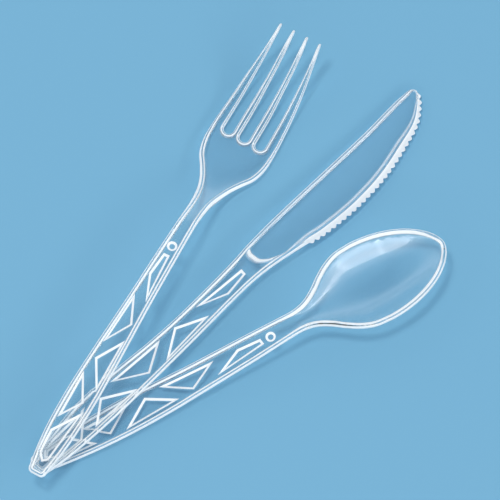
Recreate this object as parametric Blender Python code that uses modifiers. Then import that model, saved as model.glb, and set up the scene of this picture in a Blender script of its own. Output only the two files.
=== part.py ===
"""Clear plastic cutlery pack: a fork, a knife and a spoon, fanned out with their handle ends stacked.

Each of the three is a single moulding: a thin web inside a rounded rim, with a row of sunk triangles
along its handle. It is drawn in plan as an outline, filled as a flat sheet, bent to its side profile,
given its thickness, and then the triangles are cut into its top.

x runs along a piece from its handle end, y across it and z up. The tables below are in millimetres.
"""
import math

import bmesh
import bpy
from mathutils import Vector
from mathutils.geometry import delaunay_2d_cdt, interpolate_bezier

MM = 0.001

# The moulding, in millimetres
WEB = 1.4                       # thickness of the web
RIM = 2.4                       # thickness of the rounded rim
EDGE = 1.2                      # thickness of the rim's outermost line
RINGS = (0.35, 1.1, 1.7)        # lines inside the outline: crest, crest, foot of the rim
RIM_SECTION = (EDGE, RIM, RIM, WEB)
POCKET_DEPTH = 0.5
POCKET_WALL = 0.7               # width in plan of a pocket's sloping wall
DIMPLE_RADIUS = 1.4

# Sampling of the outlines
TURN = math.radians(9)          # a point is kept where the outline has turned this far
REACH = 7.0                     # or where the last point is this far behind
END_RADIUS = 2.0                # of the two corners of each handle end
FINE = 24                       # samples on each stretch before they are thinned out

# Points on the webs
GRID_COLUMNS = 52               # stations along a piece
FLAT_GRID_ROWS = 9              # rows across the fork and the knife
BOWL_GRID_ROWS = 11             # rows across the spoon
GRID_HALF_WIDTH = 16.0
GRID_MARGIN = 0.6               # distance that they keep from the foot of the rim

# The fork
FORK_LENGTH = 187.0
FORK_HEIGHTS = ((0, 9.0), (20, 10.6), (50, 11.4), (85, 11.6), (105, 11.0), (115, 8.2), (124, 3.9),
                (133, 2.2), (146, 1.42), (156, 1.7), (168, 4.1), (181, 9.3), (187, 13.0))
FORK_SIDE = ((2, 3.4), (5, 3.9), (10.8, 4.75), (20, 5.5), (33, 5.77), (48, 5.36), (70, 4.4), (90, 3.8),
             (108, 3.3), (115, 3.5), (120, 4.3), (125, 5.9), (129.5, 8.3), (134, 11.1), (139, 12.45),
             (145, 12.65), (156, 12.0), (168, 10.9), (181, 9.1), (184, 8.65))
TINE_TIPS = (7.9, 2.65)         # distance of each tine's tip from the middle line
TIP_RADIUS = 0.42
SLOT_RADIUS = 1.85
SLOT_BOTTOM = 145.0
OUTER_SLOT_CENTRE = 6.4
OUTER_SLOT_OUTSIDE = ((156, 8.2), (168, 8.0), (181, 7.7), (184, 7.55))
OUTER_SLOT_INSIDE = ((156, 4.5), (168, 4.05), (181, 3.63), (184, 3.35))
MIDDLE_SLOT_SIDE = ((156, 1.87), (168, 2.0), (181, 2.05), (184, 2.15))
TINE_RIM = ((0, 1.0), (135, 1.0), (150, 0.62), (165, 0.52), (180, 0.3), (184, 0.17), (187, 0.14))
HEAD_DISH = ((104, 0.0), (122, 1.2), (133, 1.0), (146, 0.1), (150, 0.0))

# The knife
KNIFE_LENGTH = 196.0
KNIFE_TILT = 1.5               # degrees, the handle end raised by the spoon beneath
KNIFE_SPINE = ((2, 3.5), (5, 4.2), (10.9, 5.3), (25, 6.6), (37, 6.5), (47, 5.75),
               (61, 4.3), (75, 3.5), (94, 3.35), (105, 3.6), (112, 4.05), (126, 4.1), (155, 3.2),
               (172, 2.75), (186.5, 2.95), (192.5, 2.6))
KNIFE_EDGE = ((2, -3.5), (5, -4.1), (10.9, -5.0), (25, -6.1), (40, -6.65),
              (70, -6.9), (97, -6.8), (107, -7.3), (116, -8.8), (127, -11.2))
KNIFE_TEETH_LINE = ((127, -11.2), (133, -12.6), (142, -13.7), (151, -14.2), (164, -13.5),
                    (178, -10.7), (186.5, -8.0), (192.5, -3.7), (195.1, -0.6))
KNIFE_TIP = ((195.1, -0.6), (195.4, 0.7), (194.5, 2.0), (192.5, 2.6))
TEETH = 30
TOOTH_HEIGHT = 0.85
TOOTH_STEPS = 4
KNIFE_EDGE_RIM = ((118, 1.0), (130, 2.1), (174, 2.1), (186, 1.5), (192.5, 0.6), (194, 0.22))
KNIFE_SPINE_RIM = ((186, 1.0), (192.5, 0.6), (194, 0.22))
SERRATION_SECTION = (0.4, 0.8, 1.0, 1.6)
BLADE = 1.6
GRIND_START = (122, 129)        # the rim turns into the ground edge between these
GRIND_TIP = (194, 195)          # and the point of the blade is ground all round
THICKEST_FOOT = 1.9             # of the rim, where it meets the bolster
BOLSTER = 3.0                   # thickness at the crest of the bolster
BOLSTER_WALL = 0.9
BOLSTER_RISE = 7.0
BOLSTER_ENDS = (2.6, -7.8)
BOLSTER_POINTS = 13
BOLSTER_CLEAR = 0.8             # distance that the other points keep from the bolster's lines
BOLSTER_LINE = ((110.3, 2.6), (109.2, 0.4), (109.4, -2.4), (111.4, -4.9), (114.6, -6.6), (119, -8.4))

# The spoon
SPOON_LENGTH = 164.2
SPOON_HEIGHTS = ((0, 1.2), (54, 2.4), (65, 3.2), (84, 5.3), (105.5, 7.8), (121, 8.8), (139, 9.0),
                 (164.2, 8.7))
SPOON_SIDE = ((2, 3.55), (5, 4.1), (9, 4.7), (22.5, 5.95), (36.5, 6.5), (50.5, 6.35), (64.5, 5.75),
              (86.5, 5.0), (100.5, 4.35), (105.5, 4.3), (110, 5.3), (114.5, 7.8), (118.5, 10.8),
              (123, 13.6), (128, 15.5), (134, 16.1))
BOWL_DEPTH = 8.35
BOWL_START = 96.5
BOWL_BOTTOM = 137.5
BOWL_FULLNESS = 0.58            # below one half the tip would be fuller than an ellipse
BOWL_LIP = 1.3                  # width of the flat lip round the bowl
BOWL_ALONG = 2.5                # powers that shape the bowl's floor along it, across it
BOWL_ACROSS = 2.2
BOWL_SOFT = 1.3                 # and up to its lip

# The fan: each piece's handle end and its direction on the table
FORK_PLACE = (0.0, 0.0, 60.4)
KNIFE_PLACE = (0.4, 2.4, 47.0)
SPOON_PLACE = (-0.8, 5.5, 29.2)

# Pockets along each handle, as corners in plan
FORK_POCKETS = (
    ((5.5, 0.2), (8.0, 2.5), (16.5, 2.9), (26.0, -3.2), (7.0, -1.3)),
    ((22.6, 3.2), (30.2, -1.6), (39.6, 3.6)),
    ((36.8, -3.4), (46.6, 2.4), (56.0, -2.9)),
    ((53.8, 3.2), (63.3, -2.0), (72.9, 2.4)),
    ((73.8, -2.1), (82.9, 1.6), (91.5, 0.9), (91.6, -0.7)))
KNIFE_POCKETS = (
    ((5.5, 1.2), (8.2, -2.6), (18.8, -3.6), (27.5, 3.2), (8.0, 3.4)),
    ((26.5, -3.8), (34.4, 1.8), (45.0, -4.8)),
    ((42.0, 3.3), (53.0, -3.7), (63.2, 1.6)),
    ((61.4, -4.8), (71.2, 0.9), (81.6, -4.2)),
    ((82.8, 0.8), (93.4, -3.6), (102.6, -2.8), (102.8, -1.2)))
SPOON_POCKETS = (
    ((4.4, -0.4), (7.1, 2.4), (15.3, 2.9), (22.3, -3.2), (6.5, -2.4)),
    ((22.1, 3.0), (29.1, -2.6), (38.5, 3.4)),
    ((35.7, -3.9), (45.6, 2.4), (54.9, -3.2)),
    ((53.0, 3.4), (62.1, -2.6), (71.8, 2.2)),
    ((72.9, -2.6), (82.1, 1.4), (90.5, 0.6), (90.7, -1.0)))
FORK_DIMPLE = (95.5, 0.0)
SPOON_DIMPLE = (94.3, -0.3)


def through(knots):
    """Return a smooth function of x through the (x, value) knots that never overshoots them."""
    xs = [float(x) for x, _ in knots]
    ys = [float(y) for _, y in knots]
    rises = [(ys[i + 1] - ys[i]) / (xs[i + 1] - xs[i]) for i in range(len(xs) - 1)]
    slopes = [rises[0]]
    for before, after in zip(rises, rises[1:]):
        same_way = before * after > 0
        slopes.append(2 * before * after / (before + after) if same_way else 0.0)
    slopes.append(rises[-1])

    def value(x):
        if x <= xs[0]:
            return ys[0]
        if x >= xs[-1]:
            return ys[-1]
        i = max(k for k in range(len(xs) - 1) if xs[k] <= x)
        width = xs[i + 1] - xs[i]
        t = (x - xs[i]) / width
        return ((1 + 2 * t) * (1 - t) ** 2 * ys[i] + t * t * (3 - 2 * t) * ys[i + 1]
                + width * t * (1 - t) * ((1 - t) * slopes[i] - t * slopes[i + 1]))
    return value


def smoothstep(low, high, x):
    t = min(max((x - low) / (high - low), 0.0), 1.0)
    return t * t * (3 - 2 * t)


def smooth_run(points):
    """Sample a smooth curve through the points, without its last point."""
    points = [Vector(p) for p in points]
    tangents = []
    for i in range(len(points)):
        before = points[max(i - 1, 0)]
        after = points[min(i + 1, len(points) - 1)]
        tangents.append((after - before).normalized())
    run = []
    for i in range(len(points) - 1):
        reach = (points[i + 1] - points[i]).length / 3
        run += interpolate_bezier(points[i], points[i] + tangents[i] * reach,
                                  points[i + 1] - tangents[i + 1] * reach, points[i + 1], FINE)[:-1]
    return [p.to_2d() for p in run]


def arc(centre, radius, start, end, count=7):
    """Points on a circle from one angle to the other, in degrees."""
    angles = [math.radians(start + (end - start) * k / (count - 1)) for k in range(count)]
    return [Vector((centre[0] + radius * math.cos(a), centre[1] + radius * math.sin(a))) for a in angles]


def thinned(points):
    """Keep the points that the closed outline's shape needs."""
    kept = [points[0]]
    turned = 0.0
    for i in range(1, len(points) - 1):
        before = points[i] - points[i - 1]
        after = points[i + 1] - points[i]
        turned += before.angle_signed(after, 0.0)
        if abs(turned) > TURN or (points[i] - kept[-1]).length > REACH:
            kept.append(points[i])
            turned = 0.0
    kept.append(points[-1])
    return kept


def mirrored_outline(half):
    """Close a half outline, drawn from handle end to tip above the middle line, anticlockwise."""
    lower = [Vector((p.x, -p.y)) for p in half]
    if abs(half[-1].y) < 1e-6:
        lower.pop()
    return lower + half[::-1]


def end_corner(side):
    """The handle end's rounded corner, from its flat end to where the side begins."""
    x, y = side[0]
    return arc((END_RADIUS, y - END_RADIUS), END_RADIUS, 180, 95, 7)


def fork_outline():
    slot_end = SLOT_BOTTOM + SLOT_RADIUS
    slot_centre = (slot_end, OUTER_SLOT_CENTRE)
    slot_top = (slot_end, OUTER_SLOT_CENTRE + SLOT_RADIUS)
    slot_foot = (slot_end, OUTER_SLOT_CENTRE - SLOT_RADIUS)
    tip_x = FORK_LENGTH - TIP_RADIUS
    run = end_corner(FORK_SIDE) + smooth_run(FORK_SIDE)
    run += arc((tip_x, TINE_TIPS[0]), TIP_RADIUS, 75, -85)
    run += smooth_run(OUTER_SLOT_OUTSIDE[::-1] + (slot_top,))
    run += arc(slot_centre, SLOT_RADIUS, 90, 270, 11)
    run += smooth_run((slot_foot,) + OUTER_SLOT_INSIDE)[1:]
    run += arc((tip_x, TINE_TIPS[1]), TIP_RADIUS, 80, -80)
    run += smooth_run(MIDDLE_SLOT_SIDE[::-1] + ((slot_end, SLOT_RADIUS),))
    run += arc((slot_end, 0), SLOT_RADIUS, 90, 180, 6)
    return mirrored_outline(thinned(run))


def spoon_outline():
    run = end_corner(SPOON_SIDE) + smooth_run(SPOON_SIDE)
    widest, half_width = SPOON_SIDE[-1]
    front = SPOON_LENGTH - widest
    steps = 5 * FINE
    for k in range(steps + 1):
        angle = math.pi / 2 * k / steps
        run.append(Vector((widest + front * math.sin(angle),
                           half_width * max(math.cos(angle), 0.0) ** (2 * BOWL_FULLNESS))))
    return mirrored_outline(thinned(run))


def knife_outline():
    """Return the knife's outline without its teeth, and the same with them."""
    corner = end_corner(KNIFE_SPINE)
    below = [Vector((p.x, -p.y)) for p in corner]
    edge = thinned(below + smooth_run(KNIFE_EDGE) + [Vector(KNIFE_EDGE[-1])])[:-1]
    spine = corner + smooth_run(KNIFE_SPINE) + [Vector(KNIFE_SPINE[-1])]
    tip = smooth_run(KNIFE_TIP)[1:]
    line = smooth_run(KNIFE_TEETH_LINE) + [Vector(KNIFE_TEETH_LINE[-1])]
    lengths = [0.0]
    for before, after in zip(line, line[1:]):
        lengths.append(lengths[-1] + (after - before).length)
    plain, toothed = [], []
    for k in range(TEETH * TOOTH_STEPS + 1):
        along = lengths[-1] * k / (TEETH * TOOTH_STEPS)
        i = max(n for n in range(len(line) - 1) if lengths[n] <= along)
        step = line[i + 1] - line[i]
        point = line[i] + step * ((along - lengths[i]) / step.length)
        outward = Vector((step.y, -step.x)).normalized()
        plain.append(point)
        toothed.append(point + outward * TOOTH_HEIGHT * abs(math.sin(math.pi * k / TOOTH_STEPS)))
    rest = thinned(tip + spine[::-1])
    return edge + plain + rest, edge + toothed + rest


def inset(outline, distances):
    """Move each point of a closed anticlockwise outline inwards by its own distance."""
    moved = []
    for i, point in enumerate(outline):
        before = (point - outline[i - 1]).normalized()
        after = (outline[(i + 1) % len(outline)] - point).normalized()
        inward = Vector((-before.y - after.y, before.x + after.x)).normalized()
        moved.append(point + inward * distances[i])
    return moved


def inside(outline, point, margin):
    """Say whether a point lies within the outline and at least the margin from it."""
    crossed = False
    for i, b in enumerate(outline):
        a = outline[i - 1]
        along = min(max((point - a).dot(b - a) / max((b - a).length_squared, 1e-9), 0.0), 1.0)
        if (a + (b - a) * along - point).length < margin:
            return False
        if (a.y > point.y) != (b.y > point.y):
            if point.x < a.x + (b.x - a.x) * (point.y - a.y) / (b.y - a.y):
                crossed = not crossed
    return crossed


def moulding(name, outline, rings, web_points, thickness, height, material, collection):
    """Make one moulding from its plan: the outline, the rings inside it and points on its web.

    thickness(point) is known at every web point, the rings carry their own thickness with each
    point, and height(point) is the height of the mid-surface.
    """
    points = list(outline[0])
    depths = list(outline[1])
    edges = [(i, (i + 1) % len(points)) for i in range(len(points))]
    for ring, ring_depths in rings:
        first = len(points)
        points += ring
        depths += ring_depths
        edges += [(first + i, first + (i + 1) % len(ring)) for i in range(len(ring))]
    points += web_points
    depths += [thickness(p) for p in web_points]
    places, _, triangles, sources, _, _ = delaunay_2d_cdt(points, edges, [], 0, 1e-5, True)
    middles = [sum((places[i] for i in triangle), Vector((0, 0))) / 3 for triangle in triangles]
    faces = [triangle for triangle, middle in zip(triangles, middles) if inside(outline[0], middle, 0.0)]
    mesh = bpy.data.meshes.new(name)
    mesh.from_pydata([(p.x * MM, p.y * MM, height(p) * MM) for p in places], [], faces)
    piece = bpy.data.objects.new(name, mesh)
    collection.objects.link(piece)
    mesh.materials.append(material)
    group = piece.vertex_groups.new(name="thickness")
    thickest = max(depths)
    for vertex, source in enumerate(sources):
        group.add([vertex], depths[source[0]] / thickest, "REPLACE")
    solid = piece.modifiers.new("thickness", "SOLIDIFY")
    solid.thickness = thickest * MM
    solid.offset = 0.0
    solid.vertex_group = group.name
    return piece


def web_grid(length, rows, foot):
    """Points at even stations along the piece and evenly across it, inside the rim's foot."""
    points = []
    for i in range(1, GRID_COLUMNS):
        x = length * i / GRID_COLUMNS
        for j in range(rows):
            point = Vector((x, GRID_HALF_WIDTH * (2 * (j + 0.5) / rows - 1)))
            if inside(foot, point, GRID_MARGIN):
                points.append(point)
    return points


def pocket_cutter(name, corners, floor_height, cutters):
    """A block with sloping sides, whose bottom is the pocket's floor."""
    mesh = bmesh.new()
    for rise in (0.0, 2 * POCKET_DEPTH):
        distance = POCKET_WALL * (0.5 - rise / POCKET_DEPTH)
        for point in inset(corners, [distance] * len(corners)):
            mesh.verts.new((point.x * MM, point.y * MM, (floor_height(point) + rise) * MM))
    bmesh.ops.convex_hull(mesh, input=mesh.verts)
    data = bpy.data.meshes.new(name)
    mesh.to_mesh(data)
    mesh.free()
    cutter = bpy.data.objects.new(name, data)
    cutters.objects.link(cutter)
    cutter.hide_render = True
    cutter.display_type = "WIRE"
    return cutter


def cut(piece, cutter):
    cutter.parent = piece
    boolean = piece.modifiers.new(cutter.name, "BOOLEAN")
    boolean.operation = "DIFFERENCE"
    boolean.object = cutter


def cut_relief(piece, pockets, dimple, height, cutters):
    """Sink the handle's triangles and its dimple into the top of the web."""
    def floor(point):
        return height(point) + WEB / 2 - POCKET_DEPTH
    for number, corners in enumerate(pockets, 1):
        shape = [Vector(c) for c in corners]
        turn = (shape[1] - shape[0]).cross(shape[2] - shape[1])
        shape = shape if turn > 0 else shape[::-1]
        cut(piece, pocket_cutter(f"{piece.name}_pocket_{number}", shape, floor, cutters))
    if dimple:
        ring = arc(dimple, DIMPLE_RADIUS, 0, 324, 10)
        cut(piece, pocket_cutter(f"{piece.name}_dimple", ring, floor, cutters))


def clear_plastic(name):
    material = bpy.data.materials.new(name)
    material.use_nodes = True
    shader = material.node_tree.nodes["Principled BSDF"]
    shader.inputs["Base Color"].default_value = (0.93, 0.97, 1.0, 1.0)
    shader.inputs["Roughness"].default_value = 0.05
    shader.inputs["Metallic"].default_value = 0.0
    shader.inputs["IOR"].default_value = 1.59
    shader.inputs["Transmission Weight"].default_value = 1.0
    return material


def rim_rings(outline, scales, sections):
    """The rings of a rim, each with the thickness that its section has there."""
    rings = []
    for number, distance in enumerate(RINGS, 1):
        points = inset(outline, [distance * scale for scale in scales])
        rings.append((points, [section[number] for section in sections]))
    return rings


def plain_thickness(point):
    return WEB


def make_fork(parts, cutters):
    outline = fork_outline()
    rim_scale = through(TINE_RIM)
    centre_height = through(FORK_HEIGHTS)
    dish = through(HEAD_DISH)
    half_width = through(FORK_SIDE)

    def height(point):
        across = min(abs(point.y) / half_width(point.x), 1.0)
        return centre_height(point.x) - dish(point.x) * (1 - across * across)

    scales = [rim_scale(p.x) for p in outline]
    sections = [RIM_SECTION for _ in outline]
    rings = rim_rings(outline, scales, sections)
    web = web_grid(FORK_LENGTH, FLAT_GRID_ROWS, rings[-1][0])
    piece = moulding("fork", (outline, [EDGE] * len(outline)), rings, web, plain_thickness,
                     height, clear_plastic("fork_plastic"), parts)
    cut_relief(piece, FORK_POCKETS, FORK_DIMPLE, height, cutters)
    return piece


def make_knife(parts, cutters):
    plain, toothed = knife_outline()
    step = through([(y, x) for x, y in reversed(BOLSTER_LINE)])

    def ground(point):
        """How far the cutting edge's section has replaced the rim's, from 0 to 1."""
        below = smoothstep(-2.0, -3.0, point.y)
        return smoothstep(*GRIND_START, point.x) * max(below, smoothstep(*GRIND_TIP, point.x))

    def thickness(point):
        behind = step(point.y) - point.x
        if behind < -BOLSTER_WALL:
            return BLADE
        if behind < 0:
            return BOLSTER + (BLADE - BOLSTER) * -behind / BOLSTER_WALL
        return WEB + (BOLSTER - WEB) * (1 - smoothstep(0, BOLSTER_RISE, behind))

    def height(point):
        return 0.0

    edge_rim = through(KNIFE_EDGE_RIM)
    spine_rim = through(KNIFE_SPINE_RIM)
    scales = [edge_rim(p.x) if p.y < 0 else spine_rim(p.x) for p in plain]
    sections = []
    for p in plain:
        web_here = min(thickness(p), THICKEST_FOOT)
        rim = (EDGE, RIM, RIM, web_here)
        sections.append([a + (b - a) * ground(p) for a, b in zip(rim, SERRATION_SECTION)])
    rings = rim_rings(plain, scales, sections)
    foot = rings[-1][0]
    web = web_grid(KNIFE_LENGTH, FLAT_GRID_ROWS, foot)
    top, bottom = BOLSTER_ENDS
    for offset in (0.0, BOLSTER_WALL, -BOLSTER_RISE / 2):
        for k in range(BOLSTER_POINTS):
            y = top + (bottom - top) * k / (BOLSTER_POINTS - 1)
            point = Vector((step(y) + offset, y))
            web = [p for p in web if (p - point).length > BOLSTER_CLEAR]
            if inside(foot, point, 0.1):
                web.append(point)
    piece = moulding("knife", (toothed, [s[0] for s in sections]), rings, web, thickness,
                     height, clear_plastic("knife_plastic"), parts)
    cut_relief(piece, KNIFE_POCKETS, None, height, cutters)
    return piece


def make_spoon(parts, cutters):
    outline = spoon_outline()
    centre_height = through(SPOON_HEIGHTS)
    half_width = through(SPOON_SIDE)
    widest, bowl_width = SPOON_SIDE[-1]

    def width(x):
        if x <= widest:
            return half_width(x)
        front = min((x - widest) / (SPOON_LENGTH - widest), 0.999)
        return bowl_width * (1 - front * front) ** BOWL_FULLNESS

    def height(point):
        across = min(abs(point.y) / max(width(point.x) - BOWL_LIP, BOWL_LIP), 1.0)
        past = (point.x - BOWL_BOTTOM) / (SPOON_LENGTH - BOWL_LIP - BOWL_BOTTOM)
        past = min(max(past, 0.0), 1.0)
        floor = (1 - past ** BOWL_ALONG) * (1 - across ** BOWL_ACROSS)
        behind = smoothstep(BOWL_START, BOWL_BOTTOM, point.x)
        return centre_height(point.x) - BOWL_DEPTH * behind * floor ** BOWL_SOFT

    rings = rim_rings(outline, [1.0] * len(outline), [RIM_SECTION] * len(outline))
    web = web_grid(SPOON_LENGTH, BOWL_GRID_ROWS, rings[-1][0])
    piece = moulding("spoon", (outline, [EDGE] * len(outline)), rings, web, plain_thickness,
                     height, clear_plastic("spoon_plastic"), parts)
    cut_relief(piece, SPOON_POCKETS, SPOON_DIMPLE, height, cutters)
    return piece


def place(piece, place_on_table, lift=0.0, tilt=0.0):
    """Lay a piece on the table: its handle end, its direction and how far it tips down to its tip."""
    x, y, direction = place_on_table
    piece.location = (x * MM, y * MM, lift * MM)
    piece.rotation_euler = (0.0, math.radians(tilt), math.radians(direction))


def centre_on_ground(pieces, pack):
    """Hang the pieces on the pack's empty and move it so that the box's bottom centre is the origin."""
    for piece in pieces:
        piece.parent = pack
    bpy.context.view_layer.update()
    graph = bpy.context.evaluated_depsgraph_get()
    corners = []
    for piece in pieces:
        shape = piece.evaluated_get(graph)
        corners += [shape.matrix_world @ vertex.co for vertex in shape.data.vertices]
    low = [min(c[axis] for c in corners) for axis in range(3)]
    high = [max(c[axis] for c in corners) for axis in range(3)]
    pack.location = (-(low[0] + high[0]) / 2, -(low[1] + high[1]) / 2, -low[2])


def main():
    for old in list(bpy.data.objects):
        bpy.data.objects.remove(old)
    parts = bpy.data.collections.new("cutlery_pack")
    cutters = bpy.data.collections.new("cutters")
    for collection in (parts, cutters):
        bpy.context.scene.collection.children.link(collection)
    pack = bpy.data.objects.new("pack", None)
    parts.objects.link(pack)
    fork = make_fork(parts, cutters)
    knife = make_knife(parts, cutters)
    spoon = make_spoon(parts, cutters)
    place(fork, FORK_PLACE)
    knife_rest = KNIFE_LENGTH * math.sin(math.radians(KNIFE_TILT)) + RIM / 2
    place(knife, KNIFE_PLACE, knife_rest, KNIFE_TILT)
    place(spoon, SPOON_PLACE)
    centre_on_ground((fork, knife, spoon), pack)


main()
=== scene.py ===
"""Looks of the clear plastic cutlery pack: its three mouldings rebuilt with rounded rims and soft
edges, in clear polystyrene, on a pale floor.

x runs along a piece from its handle end, y across it and z up. The tables are in millimetres and
repeat the sizes that the CAD part has. Each piece is laid where its CAD node is.
"""
import math

import bpy
import numpy as np
from mathutils import Matrix, Vector
from mathutils.geometry import delaunay_2d_cdt, interpolate_bezier


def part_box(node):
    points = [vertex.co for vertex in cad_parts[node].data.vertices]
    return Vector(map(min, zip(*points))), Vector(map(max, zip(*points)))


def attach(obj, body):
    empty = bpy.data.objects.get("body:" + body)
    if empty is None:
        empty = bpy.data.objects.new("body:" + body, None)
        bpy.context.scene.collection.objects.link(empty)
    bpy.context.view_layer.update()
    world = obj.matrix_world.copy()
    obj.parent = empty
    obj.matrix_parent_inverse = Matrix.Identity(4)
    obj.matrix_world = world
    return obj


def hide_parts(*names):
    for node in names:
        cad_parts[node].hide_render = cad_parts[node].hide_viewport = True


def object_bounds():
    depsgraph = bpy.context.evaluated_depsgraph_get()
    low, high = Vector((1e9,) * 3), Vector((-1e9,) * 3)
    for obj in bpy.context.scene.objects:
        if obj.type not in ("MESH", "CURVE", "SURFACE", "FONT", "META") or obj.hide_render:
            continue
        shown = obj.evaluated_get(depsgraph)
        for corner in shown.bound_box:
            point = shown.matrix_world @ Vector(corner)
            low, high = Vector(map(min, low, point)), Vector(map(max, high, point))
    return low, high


MM = 0.001

# The moulding, in millimetres
WEB = 1.4                       # thickness of the web
RIM = 2.4                       # thickness of the rounded rim
FOOT = 1.7                      # width of the whole rim
POCKET_DEPTH = 0.5
POCKET_WALL = 0.7               # width in plan of a pocket's sloping wall
MITRE = 1.3                     # how far a pocket's wall reaches past a sharp corner
DIMPLE_RADIUS = 1.4

# Sampling of the outlines
TURN = math.radians(3)          # a point is kept where the outline has turned this far
REACH = 0.9                     # or where the last point is this far behind
END_RADIUS = 2.0                # of the two corners of each handle end
FINE = 40                       # samples on each stretch before they are thinned out
GRID = 1.1                      # spacing of the points on the web

# The fork
FORK_LENGTH = 187.0
FORK_HEIGHTS = ((0, 9.0), (20, 10.6), (50, 11.4), (85, 11.6), (105, 11.0), (115, 8.2), (124, 3.9),
                (133, 2.2), (146, 1.42), (156, 1.7), (168, 4.1), (181, 9.3), (187, 13.0))
FORK_SIDE = ((2, 3.4), (5, 3.9), (10.8, 4.75), (20, 5.5), (33, 5.77), (48, 5.36), (70, 4.4), (90, 3.8),
             (108, 3.3), (115, 3.5), (120, 4.3), (125, 5.9), (129.5, 8.3), (134, 11.1), (139, 12.45),
             (145, 12.65), (156, 12.0), (168, 10.9), (181, 9.1), (184, 8.65))
TINE_TIPS = (7.9, 2.65)         # distance of each tine's tip from the middle line
TIP_RADIUS = 0.42
SLOT_RADIUS = 1.85
SLOT_BOTTOM = 145.0
OUTER_SLOT_CENTRE = 6.4
OUTER_SLOT_OUTSIDE = ((156, 8.2), (168, 8.0), (181, 7.7), (184, 7.55))
OUTER_SLOT_INSIDE = ((156, 4.5), (168, 4.05), (181, 3.63), (184, 3.35))
MIDDLE_SLOT_SIDE = ((156, 1.87), (168, 2.0), (181, 2.05), (184, 2.15))
TINE_RIM = ((0, 1.0), (135, 1.0), (150, 0.62), (165, 0.52), (180, 0.3), (184, 0.17), (187, 0.14))
HEAD_DISH = ((104, 0.0), (122, 1.2), (133, 1.0), (146, 0.1), (150, 0.0))

# The knife
KNIFE_TILT = 1.5               # degrees, the handle end raised by the spoon beneath
KNIFE_SPINE = ((2, 3.5), (5, 4.2), (10.9, 5.3), (25, 6.6), (37, 6.5), (47, 5.75),
               (61, 4.3), (75, 3.5), (94, 3.35), (105, 3.6), (112, 4.05), (126, 4.1), (155, 3.2),
               (172, 2.75), (186.5, 2.95), (192.5, 2.6))
KNIFE_EDGE = ((2, -3.5), (5, -4.1), (10.9, -5.0), (25, -6.1), (40, -6.65),
              (70, -6.9), (97, -6.8), (107, -7.3), (116, -8.8), (127, -11.2))
KNIFE_TEETH_LINE = ((127, -11.2), (133, -12.6), (142, -13.7), (151, -14.2), (164, -13.5),
                    (178, -10.7), (186.5, -8.0), (192.5, -3.7), (195.1, -0.6))
KNIFE_TIP = ((195.1, -0.6), (195.4, 0.7), (194.5, 2.0), (192.5, 2.6))
TEETH = 30
TOOTH_HEIGHT = 0.85
TOOTH_POINTS = 10
# Across the serrated edge, by share of the rim's width: how white it is, frosting of the teeth and painted
# highlight lines
SERRATION_FROST_AND_HIGHLIGHT = ((0.0, 0.7), (0.26, 0.62), (0.34, 1.0), (0.42, 1.0), (0.52, 0.0), (0.67, 0.0),
                  (0.75, 0.35), (0.84, 0.45), (1.0, 0.0))
KNIFE_EDGE_RIM = ((118, 1.0), (130, 2.1), (174, 2.1), (186, 1.5), (192.5, 0.9), (194, 0.5))
KNIFE_SPINE_RIM = ((186, 1.0), (192.5, 0.75), (194, 0.5))
BLADE = 1.6
BLADE_EDGE = 0.4               # thickness of the blade's cutting edge
BOLSTER = 3.0                   # thickness at the crest of the bolster
BOLSTER_WALL = 0.9
BOLSTER_RISE = 7.0
BOLSTER_LINE = ((110.3, 2.6), (109.2, 0.4), (109.4, -2.4), (111.4, -4.9), (114.6, -6.6), (119, -8.4))

# How far behind the bolster's line each line along it lies, and how white its painted highlight is
BOLSTER_PAINTED_HIGHLIGHT = ((-1.9, 0.0), (-1.2, 0.0), (-0.9, 0.2), (-0.6, 0.75), (-0.3, 1.0), (0.0, 1.0),
                (0.4, 0.9), (0.8, 0.6), (1.3, 0.25), (2.0, 0.0), (3.0, 0.0), (4.2, 0.0), (5.6, 0.0))

# The spoon
SPOON_LENGTH = 164.2
SPOON_HEIGHTS = ((0, 1.2), (54, 2.4), (65, 3.2), (84, 5.3), (105.5, 7.8), (121, 8.8), (139, 9.0),
                 (164.2, 8.7))
SPOON_SIDE = ((2, 3.55), (5, 4.1), (9, 4.7), (22.5, 5.95), (36.5, 6.5), (50.5, 6.35), (64.5, 5.75),
              (86.5, 5.0), (100.5, 4.35), (105.5, 4.3), (110, 5.3), (114.5, 7.8), (118.5, 10.8),
              (123, 13.6), (128, 15.5), (134, 16.1))
BOWL_DEPTH = 8.35
BOWL_START = 96.5
BOWL_BOTTOM = 137.5
BOWL_FULLNESS = 0.58            # below one half the tip would be fuller than an ellipse
BOWL_LIP = 1.3                  # width of the flat lip round the bowl
BOWL_ALONG = 2.5                # powers that shape the bowl's floor along it, across it
BOWL_ACROSS = 2.2
BOWL_SOFT = 1.3                 # and up to its lip

# Directions on the table, in degrees
FORK_DIRECTION = 60.4
KNIFE_DIRECTION = 47.0
SPOON_DIRECTION = 29.2

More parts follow.
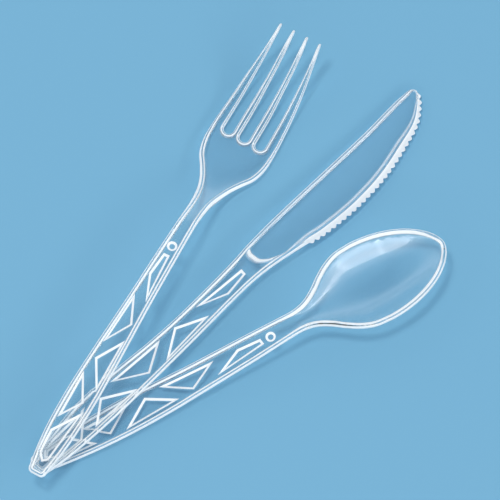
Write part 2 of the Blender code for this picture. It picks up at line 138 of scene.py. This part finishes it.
# Pockets along each handle, as corners in plan
FORK_POCKETS = (
    ((5.5, 0.2), (8.0, 2.5), (16.5, 2.9), (26.0, -3.2), (7.0, -1.3)),
    ((22.6, 3.2), (30.2, -1.6), (39.6, 3.6)),
    ((36.8, -3.4), (46.6, 2.4), (56.0, -2.9)),
    ((53.8, 3.2), (63.3, -2.0), (72.9, 2.4)),
    ((73.8, -2.1), (82.9, 1.6), (91.5, 0.9), (91.6, -0.7)))
KNIFE_POCKETS = (
    ((5.5, 1.2), (8.2, -2.6), (18.8, -3.6), (27.5, 3.2), (8.0, 3.4)),
    ((26.5, -3.8), (34.4, 1.8), (45.0, -4.8)),
    ((42.0, 3.3), (53.0, -3.7), (63.2, 1.6)),
    ((61.4, -4.8), (71.2, 0.9), (81.6, -4.2)),
    ((82.8, 0.8), (93.4, -3.6), (102.6, -2.8), (102.8, -1.2)))
SPOON_POCKETS = (
    ((4.4, -0.4), (7.1, 2.4), (15.3, 2.9), (22.3, -3.2), (6.5, -2.4)),
    ((22.1, 3.0), (29.1, -2.6), (38.5, 3.4)),
    ((35.7, -3.9), (45.6, 2.4), (54.9, -3.2)),
    ((53.0, 3.4), (62.1, -2.6), (71.8, 2.2)),
    ((72.9, -2.6), (82.1, 1.4), (90.5, 0.6), (90.7, -1.0)))
FORK_DIMPLE = (95.5, 0.0)
SPOON_DIMPLE = (94.3, -0.3)

# Light that one surface lets through to what is behind it
WEB_SHADOW = (0.95, 0.975, 0.99, 1.0)
EDGE_SHADOW = (0.2, 0.25, 0.32, 1.0)

# The camera, in metres and degrees
CAMERA_ELEVATION = 70.0
CAMERA_DISTANCE = 2.5
CAMERA_LENS = 513.5
CAMERA_AIM = (0.0039, 0.0012, 0.005)   # from the middle of the pack's footprint


# ---------------------------------------------------------------- plan shapes

def through(knots):
    """Return a smooth function of x through the (x, value) knots that never overshoots them."""
    xs = np.array([k[0] for k in knots], float)
    ys = np.array([k[1] for k in knots], float)
    rises = np.diff(ys) / np.diff(xs)
    before, after = rises[:-1], rises[1:]
    same_way = before * after > 0
    inner = np.where(same_way, 2 * before * after / np.where(same_way, before + after, 1.0), 0.0)
    slopes = np.concatenate([rises[:1], inner, rises[-1:]])

    def value(x):
        x = np.clip(x, xs[0], xs[-1])
        i = np.clip(np.searchsorted(xs, x, side="right") - 1, 0, len(xs) - 2)
        width = xs[i + 1] - xs[i]
        t = (x - xs[i]) / width
        return ((1 + 2 * t) * (1 - t) ** 2 * ys[i] + t * t * (3 - 2 * t) * ys[i + 1]
                + width * t * (1 - t) * ((1 - t) * slopes[i] - t * slopes[i + 1]))
    return value


def smoothstep(low, high, x):
    t = np.clip((x - low) / (high - low), 0.0, 1.0)
    return t * t * (3 - 2 * t)


def smooth_run(points):
    """Sample a smooth curve through the points, without its last point."""
    points = [Vector(p) for p in points]
    tangents = []
    for i in range(len(points)):
        before = points[max(i - 1, 0)]
        after = points[min(i + 1, len(points) - 1)]
        tangents.append((after - before).normalized())
    run = []
    for i in range(len(points) - 1):
        reach = (points[i + 1] - points[i]).length / 3
        run += interpolate_bezier(points[i], points[i] + tangents[i] * reach,
                                  points[i + 1] - tangents[i + 1] * reach, points[i + 1], FINE)[:-1]
    return [p.to_2d() for p in run]


def arc(centre, radius, start, end, count=13):
    """Points on a circle from one angle to the other, in degrees."""
    angles = [math.radians(start + (end - start) * k / (count - 1)) for k in range(count)]
    return [Vector((centre[0] + radius * math.cos(a), centre[1] + radius * math.sin(a))) for a in angles]


def thinned(points):
    """Keep the points that the closed outline's shape needs."""
    kept = [points[0]]
    turned = 0.0
    for i in range(1, len(points) - 1):
        before = points[i] - points[i - 1]
        after = points[i + 1] - points[i]
        if before.length < 1e-6:
            continue
        turned += before.angle_signed(after, 0.0)
        if abs(turned) > TURN or (points[i] - kept[-1]).length > REACH:
            kept.append(points[i])
            turned = 0.0
    kept.append(points[-1])
    return kept


def mirrored_outline(half):
    """Close a half outline, drawn from handle end to tip above the middle line, anticlockwise."""
    lower = [Vector((p.x, -p.y)) for p in half]
    if abs(half[-1].y) < 1e-6:
        lower.pop()
    return lower + half[::-1]


def end_corner(side):
    """The handle end's rounded corner, from its flat end to where the side begins."""
    x, y = side[0]
    return arc((END_RADIUS, y - END_RADIUS), END_RADIUS, 180, 95)


def fork_outline():
    slot_end = SLOT_BOTTOM + SLOT_RADIUS
    slot_centre = (slot_end, OUTER_SLOT_CENTRE)
    slot_top = (slot_end, OUTER_SLOT_CENTRE + SLOT_RADIUS)
    slot_foot = (slot_end, OUTER_SLOT_CENTRE - SLOT_RADIUS)
    tip_x = FORK_LENGTH - TIP_RADIUS
    run = end_corner(FORK_SIDE) + smooth_run(FORK_SIDE)
    run += arc((tip_x, TINE_TIPS[0]), TIP_RADIUS, 75, -85)
    run += smooth_run(OUTER_SLOT_OUTSIDE[::-1] + (slot_top,))
    run += arc(slot_centre, SLOT_RADIUS, 90, 270, 25)
    run += smooth_run((slot_foot,) + OUTER_SLOT_INSIDE)[1:]
    run += arc((tip_x, TINE_TIPS[1]), TIP_RADIUS, 80, -80)
    run += smooth_run(MIDDLE_SLOT_SIDE[::-1] + ((slot_end, SLOT_RADIUS),))
    run += arc((slot_end, 0), SLOT_RADIUS, 90, 180)
    return mirrored_outline(thinned(run))


def spoon_outline():
    run = end_corner(SPOON_SIDE) + smooth_run(SPOON_SIDE)
    widest, half_width = SPOON_SIDE[-1]
    front = SPOON_LENGTH - widest
    steps = 5 * FINE
    for k in range(steps + 1):
        angle = math.pi / 2 * k / steps
        run.append(Vector((widest + front * math.sin(angle),
                           half_width * max(math.cos(angle), 0.0) ** (2 * BOWL_FULLNESS))))
    return mirrored_outline(thinned(run))


def knife_outline():
    """Return the knife's outline without its teeth, and the same with them."""
    corner = end_corner(KNIFE_SPINE)
    below = [Vector((p.x, -p.y)) for p in corner]
    edge = thinned(below + smooth_run(KNIFE_EDGE) + [Vector(KNIFE_EDGE[-1])])[:-1]
    spine = corner + smooth_run(KNIFE_SPINE) + [Vector(KNIFE_SPINE[-1])]
    tip = smooth_run(KNIFE_TIP)[1:]
    line = smooth_run(KNIFE_TEETH_LINE) + [Vector(KNIFE_TEETH_LINE[-1])]
    lengths = [0.0]
    for before, after in zip(line, line[1:]):
        lengths.append(lengths[-1] + (after - before).length)
    plain, toothed = [], []
    for k in range(TEETH * TOOTH_POINTS + 1):
        along = lengths[-1] * k / (TEETH * TOOTH_POINTS)
        i = max(n for n in range(len(line) - 1) if lengths[n] <= along)
        step = line[i + 1] - line[i]
        point = line[i] + step * ((along - lengths[i]) / step.length)
        outward = Vector((step.y, -step.x)).normalized()
        plain.append(point)
        toothed.append(point + outward * TOOTH_HEIGHT * abs(math.sin(math.pi * k / TOOTH_POINTS)) ** 1.2)
    rest = thinned(tip + spine[::-1])
    return edge + plain + rest, edge + toothed + rest


def inset(outline, distances):
    """Move each point of a closed anticlockwise outline inwards by its own distance."""
    moved = []
    for i, point in enumerate(outline):
        before = (point - outline[i - 1]).normalized()
        after = (outline[(i + 1) % len(outline)] - point).normalized()
        inward = Vector((-before.y - after.y, before.x + after.x)).normalized()
        moved.append(point + inward * distances[i])
    return moved


# ---------------------------------------------------------------- sheets of a moulding

def inside(outline, points):
    """Say which points lie within a closed outline."""
    ring = np.array(outline)
    points = np.array(points)
    crossed = np.zeros(len(points), bool)
    for a, b in zip(np.roll(ring, 1, axis=0), ring):
        spans = (a[1] > points[:, 1]) != (b[1] > points[:, 1])
        if spans.any():
            at = a[0] + (b[0] - a[0]) * (points[:, 1] - a[1]) / ((b[1] - a[1]) or 1e-9)
            crossed ^= spans & (points[:, 0] < at)
    return crossed


def distance_to(line, points, closed=True):
    """Distance of each point from a line of points."""
    line = np.array(line)
    points = np.array(points)
    nearest = np.full(len(points), np.inf)
    starts = np.roll(line, 1, axis=0) if closed else line[:-1]
    ends = line if closed else line[1:]
    for a, b in zip(starts, ends):
        way = b - a
        along = np.clip((points - a) @ way / max(way @ way, 1e-9), 0.0, 1.0)
        nearest = np.minimum(nearest, np.linalg.norm(a + along[:, None] * way - points, axis=1))
    return nearest


def densified(corners, spacing, closed=True):
    """Add points along the straight lines between corners."""
    dense = []
    last = len(corners) if closed else len(corners) - 1
    for i in range(last):
        a, b = corners[i], corners[(i + 1) % len(corners)]
        steps = max(1, round((b - a).length / spacing))
        dense += [a + (b - a) * k / steps for k in range(steps)]
    return dense if closed else dense + [corners[-1]]


def mitred(corners, distance):
    """A polygon moved inwards by a distance, its corners kept sharp up to MITRE outwards."""
    moved = []
    for i, corner in enumerate(corners):
        before = (corner - corners[i - 1]).normalized()
        after = (corners[(i + 1) % len(corners)] - corner).normalized()
        inward = Vector((-before.y - after.y, before.x + after.x)).normalized()
        reach = distance / max(inward.dot(Vector((-before.y, before.x))), 0.1)
        moved.append(corner + inward * max(reach, -MITRE))
    return moved


def anticlockwise(corners):
    shape = [Vector(c) for c in corners]
    turn = (shape[1] - shape[0]).cross(shape[2] - shape[1])
    return shape if turn > 0 else shape[::-1]


class Plan:
    """The plan of a moulding: points with the thickness and the sunk depth that each one has."""

    def __init__(self, outline):
        self.outline = outline
        self.points = []
        self.depths = []
        self.sinks = []
        self.frost_and_painted_highlight = []
        self.edges = []

    def add_line(self, points, depths, sinks=0.0, frost_and_painted_highlight=0.0, closed=True):
        first = len(self.points)
        count = len(points)
        self.points += list(points)
        self.depths += list(np.broadcast_to(depths, count))
        self.sinks += list(np.broadcast_to(sinks, count))
        self.frost_and_painted_highlight += list(np.broadcast_to(frost_and_painted_highlight, count))
        last = count if closed else count - 1
        self.edges += [(first + i, first + (i + 1) % count) for i in range(last)]

    def add_loose(self, points, depths, sinks=0.0, frost_and_painted_highlight=0.0):
        count = len(points)
        self.points += [Vector(p) for p in points]
        self.depths += list(np.broadcast_to(depths, count))
        self.sinks += list(np.broadcast_to(sinks, count))
        self.frost_and_painted_highlight += list(np.broadcast_to(frost_and_painted_highlight, count))


def web_grid(foot, keep_out, spacing=GRID, margin=0.5):
    """Points all over the web inside the rim's foot, clear of the lines already drawn."""
    ring = np.array(foot)
    low, high = ring.min(axis=0), ring.max(axis=0)
    points = []
    for row, y in enumerate(np.arange(low[1], high[1], spacing * 0.87)):
        xs = np.arange(low[0] + (row % 2) * spacing / 2, high[0], spacing)
        points += [(x, y) for x in xs]
    points = np.array(points)
    points = points[inside(foot, points)]
    points = points[distance_to(foot, points) > margin]
    for line, closed in keep_out:
        if len(points):
            points = points[distance_to(line, points, closed) > margin]
    return points


# A pocket's section: how far outside its middle line each line lies, and how deep it is and how white its
# painted highlight is
POCKET_SECTION = ((0.75, 0.0, 0.0), (0.58, 0.01, 0.5), (0.42, 0.06, 1.0), (0.2, 0.27, 1.0),
                  (0.0, 0.5, 1.0), (-0.2, 0.73, 1.0), (-0.42, 0.94, 1.0), (-0.58, 0.99, 0.5),
                  (-0.75, 1.0, 0.0))
# The rim's section: distance from its edge as a share of its width, and how white its painted highlight is
# there
RIM_SECTION = ((0.0, 1.0), (0.012, 1.0), (0.05, 1.0), (0.11, 1.0), (0.17, 1.0), (0.24, 0.85),
               (0.31, 0.2), (0.38, 0.0), (0.47, 0.0), (0.54, 0.3), (0.61, 0.95), (0.69, 1.0),
               (0.79, 1.0), (0.89, 0.6), (1.0, 0.0))
# Below these scales the rim's painted highlight lines merge into one white band
NARROW_RIM = (0.18, 0.4)        # scales of the rim between which its lines part
CREST_SHARE = 0.62              # the rim's section is round up to here and falls to the web beyond


def rim_depth(share, crest, web):
    """Thickness of a rim at a share of its width from its edge."""
    if share < CREST_SHARE:
        return crest * math.sqrt(1 - (1 - share / CREST_SHARE) ** 2)
    return web + (crest - web) * (1 - smoothstep(CREST_SHARE, 1.0, share))


def add_pockets(plan, pockets, dimple, web_at):
    """Draw the sunk triangles and the dimple, and return the lines that the web keeps clear of."""
    lines = []
    shapes = [anticlockwise(corners) for corners in pockets]
    if dimple:
        shapes.append(arc(dimple, DIMPLE_RADIUS, 0, 345, 24))
    for shape in shapes:
        # The sloping walls of each pocket are painted white as highlights
        for offset, sunk, white in POCKET_SECTION:
            line = densified(mitred(shape, -offset * POCKET_WALL), GRID)
            plan.add_line(line, web_at(line), sunk * POCKET_DEPTH, white)
            lines.append((line, True))
    return lines


def sunk_depth(points, pockets, dimple):
    """Depth of the pockets under loose points of the web."""
    sunk = np.zeros(len(points))
    shapes = [anticlockwise(corners) for corners in pockets]
    if dimple:
        shapes.append(arc(dimple, DIMPLE_RADIUS, 0, 345, 24))
    for shape in shapes:
        sunk[inside(shape, points)] = POCKET_DEPTH
    return sunk


def build_moulding(name, plan, thickness, height, frost_and_highlight_below=None):
    """Make the closed mesh of a moulding from its plan. The last argument gives, by x, the underside's
    share of the mask of painted highlight and frosting.
    """
    places, _, faces, sources, _, _ = delaunay_2d_cdt(plan.points, plan.edges, [], 0, 1e-5, True)
    xy = np.array(places)
    tris = np.array(faces)
    tris = tris[inside(plan.outline, xy[tris].mean(axis=1))]
    first = [s[0] if s else -1 for s in sources]
    depth = np.array([plan.depths[s] if s >= 0 else np.nan for s in first])
    sink = np.array([plan.sinks[s] if s >= 0 else np.nan for s in first])
    frost_and_painted_highlight = np.array([plan.frost_and_painted_highlight[s] if s >= 0 else 0.0 for s in first])
    lost = np.isnan(depth)
    if lost.any():
        depth[lost] = thickness(xy[lost])
        sink[lost] = 0.0
    step = 0.05
    x, y = xy[:, 0], xy[:, 1]
    rise_x = (height(x + step, y) - height(x - step, y)) / (2 * step)
    rise_y = (height(x, y + step) - height(x, y - step)) / (2 * step)
    normal = np.stack([-rise_x, -rise_y, np.ones(len(x))], axis=1)
    normal /= np.linalg.norm(normal, axis=1, keepdims=True)
    middle = np.stack([x, y, height(x, y)], axis=1)
    top = middle + normal * (depth / 2 - sink)[:, None]
    bottom = middle - normal * (depth / 2)[:, None]
    shared = depth < 1e-6
    count = len(xy)
    below = np.where(shared, np.arange(count), np.arange(count) + count)
    verts = np.concatenate([top, bottom]) * MM
    all_faces = np.concatenate([tris, below[tris][:, ::-1]])
    used = np.unique(all_faces)
    index = np.full(2 * count, -1)
    index[used] = np.arange(len(used))
    underside_frost_and_highlight = frost_and_highlight_below(x) if frost_and_highlight_below else np.zeros(count)
    mesh = bpy.data.meshes.new(name)
    mesh.from_pydata(verts[used].tolist(), [], index[all_faces].tolist())
    # The mask paints white highlights along rims, pocket walls and the bolster, and frosting with painted
    # highlight at the serrations
    mask = mesh.attributes.new("frost_and_painted_highlight", "FLOAT", "POINT")
    mask.data.foreach_set("value", np.concatenate([frost_and_painted_highlight, frost_and_painted_highlight * underside_frost_and_highlight])[used])
    mesh.shade_smooth()
    piece = bpy.data.objects.new(name, mesh)
    bpy.context.scene.collection.objects.link(piece)
    return piece


def plain_rim(plan, outline, scales, web_at):
    """Draw a rim with a round section and painted highlight lines, white all over where it is narrowest,
    and return its foot.
    """
    scales = np.array(scales)
    # Where the rim is narrowest, as at the tine tips, it is painted white all over as a highlight
    narrow = 1 - smoothstep(*NARROW_RIM, scales)
    for share, white in RIM_SECTION:
        line = inset(outline, scales * FOOT * share)
        web = web_at(line)
        plan.add_line(line, rim_depth(share, np.maximum(RIM, web), web), frost_and_painted_highlight=np.maximum(white, narrow))
    return line


# ---------------------------------------------------------------- the three pieces

def make_fork():
    outline = fork_outline()
    centre_height = through(FORK_HEIGHTS)
    dish = through(HEAD_DISH)
    half_width = through(FORK_SIDE)
    rim_scale = through(TINE_RIM)

    def web_at(points):
        return np.full(len(points), WEB)

    def height(x, y):
        across = np.clip(np.abs(y) / half_width(x), 0.0, 1.0)
        return centre_height(x) - dish(x) * (1 - across * across)

    plan = Plan(outline)
    foot = plain_rim(plan, outline, [rim_scale(p.x) for p in outline], web_at)
    lines = add_pockets(plan, FORK_POCKETS, FORK_DIMPLE, web_at)
    loose = web_grid(foot, lines)
    plan.add_loose(loose, WEB, sunk_depth(loose, FORK_POCKETS, FORK_DIMPLE))
    return build_moulding("clear_fork", plan, web_at, height)


def knife_thickness():
    """Return the thickness of the knife's web as a function of its points."""
    rows = sorted((y, x) for x, y in BOLSTER_LINE)
    step = through(rows)

    def thickness(points):
        points = np.array(points)
        behind = step(points[:, 1]) - points[:, 0]
        wall = smoothstep(-BOLSTER_WALL, 0.0, behind)
        handle = WEB + (BOLSTER - WEB) * (1 - smoothstep(0.0, BOLSTER_RISE, behind))
        return np.where(behind < 0, BLADE + (BOLSTER - BLADE) * wall, handle)
    return thickness, step


def make_knife():
    plain, toothed = knife_outline()
    web_at, step = knife_thickness()
    edge_rim = through(KNIFE_EDGE_RIM)
    spine_rim = through(KNIFE_SPINE_RIM)
    scales = np.array([edge_rim(p.x) if p.y < 0 else spine_rim(p.x) for p in plain])
    places = np.array(plain)
    below = smoothstep(-2.0, -3.0, places[:, 1])
    ground = smoothstep(122, 129, places[:, 0]) * np.maximum(below, smoothstep(194, 195, places[:, 0]))

    plan = Plan(toothed)
    on_blade = smoothstep(108, 118, places[:, 0])
    for share, white in RIM_SECTION:
        depth_in = FOOT * share
        line = inset(plain, scales * depth_in)
        keep = 1 - smoothstep(0.0, 0.6, depth_in)
        line = [p + (t - q) * keep for p, t, q in zip(line, toothed, plain)]
        web = web_at(line)
        round_depth = rim_depth(share, np.maximum(RIM, web), web)
        bevel = BLADE_EDGE + (BLADE - BLADE_EDGE) * share
        bevel *= min(1.0, math.sqrt(share / 0.05))
        # Past the bolster the rim's inner painted highlight line is half as white; the serrations get
        # their frosting and painted highlight
        softer = 1 - 0.5 * on_blade * (share > 0.5)
        serration_frost_and_highlight = float(np.interp(share, *zip(*SERRATION_FROST_AND_HIGHLIGHT)))
        frost_and_painted_highlight = white * softer * (1 - ground) + serration_frost_and_highlight * ground
        plan.add_line(line, round_depth * (1 - ground) + bevel * ground, frost_and_painted_highlight=frost_and_painted_highlight)
    foot = line
    lines = add_pockets(plan, KNIFE_POCKETS, None, web_at)
    ys = np.linspace(2.3, -7.2, 30)
    # A painted highlight along the bolster's crest, fading towards the handle
    for behind, white in BOLSTER_PAINTED_HIGHLIGHT:
        line = [Vector((float(step(y)) - behind, y)) for y in ys]
        within = inside(foot, line) & (distance_to(foot, line) > 0.15)
        line = [p for p, ok in zip(line, within) if ok]
        plan.add_loose(line, web_at(line), frost_and_painted_highlight=white)
        lines.append((line, False))
    loose = web_grid(foot, lines)
    plan.add_loose(loose, web_at(loose), sunk_depth(loose, KNIFE_POCKETS, None))
    return build_moulding("clear_knife", plan, web_at, lambda x, y: np.zeros(len(x)),
                          lambda x: smoothstep(122, 129, x))


def make_spoon():
    outline = spoon_outline()
    centre_height = through(SPOON_HEIGHTS)
    half_width = through(SPOON_SIDE)
    widest, bowl_width = SPOON_SIDE[-1]

    def web_at(points):
        return np.full(len(points), WEB)

    def width(x):
        front = np.clip((x - widest) / (SPOON_LENGTH - widest), 0.0, 0.999)
        return np.where(x <= widest, half_width(x), bowl_width * (1 - front * front) ** BOWL_FULLNESS)

    def height(x, y):
        across = np.clip(np.abs(y) / np.maximum(width(x) - BOWL_LIP, BOWL_LIP), 0.0, 1.0)
        past = np.clip((x - BOWL_BOTTOM) / (SPOON_LENGTH - BOWL_LIP - BOWL_BOTTOM), 0.0, 1.0)
        floor = (1 - past ** BOWL_ALONG) * (1 - across ** BOWL_ACROSS)
        behind = smoothstep(BOWL_START, BOWL_BOTTOM, x)
        return centre_height(x) - BOWL_DEPTH * behind * floor ** BOWL_SOFT

    plan = Plan(outline)
    foot = plain_rim(plan, outline, [1.0] * len(outline), web_at)
    lines = add_pockets(plan, SPOON_POCKETS, SPOON_DIMPLE, web_at)
    loose = web_grid(foot, lines)
    plan.add_loose(loose, WEB, sunk_depth(loose, SPOON_POCKETS, SPOON_DIMPLE))
    return build_moulding("clear_spoon", plan, web_at, height)


def lay(piece, node, direction, tilt=0.0):
    """Turn a piece to its direction and put it where its CAD node is."""
    turn = Matrix.Rotation(math.radians(direction), 4, "Z") @ Matrix.Rotation(math.radians(tilt), 4, "Y")
    piece.data.transform(turn)
    spots = np.array([v.co for v in piece.data.vertices])
    low, high = (np.array(corner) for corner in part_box(node))
    shift = (low + high) / 2 - (spots.min(axis=0) + spots.max(axis=0)) / 2
    shift[2] = low[2] - spots[:, 2].min()
    piece.data.transform(Matrix.Translation(Vector(shift)))


# ---------------------------------------------------------------- materials

def node(tree, kind, **values):
    """Add a node and set its inputs, by name."""
    made = tree.nodes.new(kind)
    for key, value in values.items():
        made.inputs[key.replace("_", " ")].default_value = value
    return made


def clear_plastic(name):
    """Crystal polystyrene: clear and glossy, and whitish where the mesh's mask paints highlights on the
    moulding's edges and pocket walls, with frosting too at the serrations.
    """
    material = bpy.data.materials.new(name)
    material.use_nodes = True
    tree = material.node_tree
    link = tree.links.new
    shader = tree.nodes["Principled BSDF"]
    shader.inputs["Base Color"].default_value = (0.97, 0.99, 1.0, 1.0)
    shader.inputs["IOR"].default_value = 1.5
    shader.inputs["Coat Weight"].default_value = 0.6
    shader.inputs["Coat Roughness"].default_value = 0.3
    # The mask lowers the transmission so that the white base colour shows: painted highlights, and
    # frosting at the serrations; it also roughens the surface and darkens the shadows these parts cast
    frost_and_painted_highlight = tree.nodes.new("ShaderNodeAttribute")
    frost_and_painted_highlight.attribute_name = "frost_and_painted_highlight"
    clear = node(tree, "ShaderNodeMapRange", To_Min=1.0, To_Max=0.12)
    link(frost_and_painted_highlight.outputs["Fac"], clear.inputs["Value"])
    link(clear.outputs["Result"], shader.inputs["Transmission Weight"])
    coords = tree.nodes.new("ShaderNodeTexCoord")
    cloud = node(tree, "ShaderNodeTexNoise", Scale=90.0, Detail=3.0)
    link(coords.outputs["Object"], cloud.inputs["Vector"])
    haze = node(tree, "ShaderNodeMapRange", From_Min=0.3, From_Max=0.7, To_Min=0.1, To_Max=0.15)
    link(cloud.outputs["Fac"], haze.inputs["Value"])
    rough = node(tree, "ShaderNodeMapRange", To_Max=0.4)
    link(frost_and_painted_highlight.outputs["Fac"], rough.inputs["Value"])
    link(haze.outputs["Result"], rough.inputs["To Min"])
    link(rough.outputs["Result"], shader.inputs["Roughness"])
    let_through = tree.nodes.new("ShaderNodeBsdfTransparent")
    tint = tree.nodes.new("ShaderNodeMix")
    tint.data_type = "RGBA"
    tint.inputs["A"].default_value = WEB_SHADOW
    tint.inputs["B"].default_value = EDGE_SHADOW
    link(frost_and_painted_highlight.outputs["Fac"], tint.inputs["Factor"])
    link(tint.outputs["Result"], let_through.inputs["Color"])
    rays = tree.nodes.new("ShaderNodeLightPath")
    mix = tree.nodes.new("ShaderNodeMixShader")
    link(rays.outputs["Is Shadow Ray"], mix.inputs["Fac"])
    link(shader.outputs["BSDF"], mix.inputs[1])
    link(let_through.outputs["BSDF"], mix.inputs[2])
    link(mix.outputs["Shader"], tree.nodes["Material Output"].inputs["Surface"])
    return material


def floor_material():
    material = bpy.data.materials.new("pale_floor")
    material.use_nodes = True
    shader = material.node_tree.nodes["Principled BSDF"]
    shader.inputs["Base Color"].default_value = (0.178, 0.407, 0.59, 1.0)
    shader.inputs["Roughness"].default_value = 0.9
    shader.inputs["Specular IOR Level"].default_value = 0.0
    return material


# ---------------------------------------------------------------- stage

def make_floor():
    mesh = bpy.data.meshes.new("floor")
    half = 3.0
    mesh.from_pydata([(-half, -half, 0), (half, -half, 0), (half, half, 0), (-half, half, 0)], [],
                     [(0, 1, 2, 3)])
    mesh.materials.append(floor_material())
    floor = bpy.data.objects.new("floor", mesh)
    bpy.context.scene.collection.objects.link(floor)


def softbox(name, azimuth, elevation, distance, width, height, power):
    """A rectangular light that faces the pack from a direction given in degrees."""
    light = bpy.data.lights.new(name, "AREA")
    light.shape = "RECTANGLE"
    light.size, light.size_y = width, height
    light.energy = power
    lamp = bpy.data.objects.new(name, light)
    a, e = math.radians(azimuth), math.radians(elevation)
    spot = Vector((math.cos(e) * math.sin(a), -math.cos(e) * math.cos(a), math.sin(e))) * distance
    lamp.location = spot
    lamp.rotation_euler = spot.to_track_quat("Z", "Y").to_euler()
    bpy.context.scene.collection.objects.link(lamp)
    return lamp


def make_lights():
    """A key from the upper left for the shadows, and an arc of softboxes for the gloss."""
    key = softbox("key", -120, 74, 1.6, 0.35, 0.35, 13)
    key.visible_glossy = False
    key.visible_transmission = False
    for k in range(5):
        softbox(f"arc_{k}", -15 + 28 * k, 25, 1.3, 0.66, 0.2, 1.3)


def make_tent():
    """The light tent around the table: bright low down all round, dim overhead."""
    world = bpy.data.worlds.new("tent")
    bpy.context.scene.world = world
    world.use_nodes = True
    tree = world.node_tree
    background = tree.nodes["Background"]
    coords = tree.nodes.new("ShaderNodeTexCoord")
    split = tree.nodes.new("ShaderNodeSeparateXYZ")
    ramp = tree.nodes.new("ShaderNodeValToRGB")
    stops = ramp.color_ramp.elements
    stops[0].position, stops[0].color = 0.0, (1.0, 1.0, 1.0, 1.0)
    stops[1].position, stops[1].color = 0.75, (0.18, 0.22, 0.26, 1.0)
    bright = stops.new(0.45)
    bright.color = (1.0, 1.0, 1.0, 1.0)
    tree.links.new(coords.outputs["Generated"], split.inputs["Vector"])
    tree.links.new(split.outputs["Z"], ramp.inputs["Fac"])
    tree.links.new(ramp.outputs["Color"], background.inputs["Color"])
    background.inputs["Strength"].default_value = 0.95


def make_camera(low, high):
    camera = bpy.data.cameras.new("camera")
    camera.lens = CAMERA_LENS
    camera.sensor_width = 36.0
    camera.clip_end = 50.0
    eye = bpy.data.objects.new("camera", camera)
    aim = Vector(((low[0] + high[0]) / 2, (low[1] + high[1]) / 2, low[2])) + Vector(CAMERA_AIM)
    lean = math.radians(CAMERA_ELEVATION)
    away = Vector((0.0, -math.cos(lean), math.sin(lean)))
    eye.location = aim + away * CAMERA_DISTANCE
    eye.rotation_euler = away.to_track_quat("Z", "Y").to_euler()
    bpy.context.scene.collection.objects.link(eye)
    bpy.context.scene.camera = eye


# ---------------------------------------------------------------- the scene

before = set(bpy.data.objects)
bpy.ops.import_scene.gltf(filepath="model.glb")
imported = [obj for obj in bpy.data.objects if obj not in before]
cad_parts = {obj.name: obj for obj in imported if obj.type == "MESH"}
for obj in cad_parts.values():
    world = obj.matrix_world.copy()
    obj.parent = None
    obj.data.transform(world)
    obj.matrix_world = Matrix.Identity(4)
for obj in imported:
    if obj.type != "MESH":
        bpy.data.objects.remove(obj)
cad_low, cad_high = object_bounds()

pieces = (
    (make_fork(), "fork", "fork_plastic", FORK_DIRECTION, 0.0),
    (make_knife(), "knife", "knife_plastic", KNIFE_DIRECTION, KNIFE_TILT),
    (make_spoon(), "spoon", "spoon_plastic", SPOON_DIRECTION, 0.0))
for piece, node_name, slot_name, direction, tilt in pieces:
    lay(piece, node_name, direction, tilt)
    piece.data.materials.append(clear_plastic(slot_name))
    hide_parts(node_name)
    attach(piece, "root")

make_floor()
make_tent()
make_lights()
make_camera(cad_low, cad_high)
bpy.context.scene.view_settings.view_transform = "Standard"
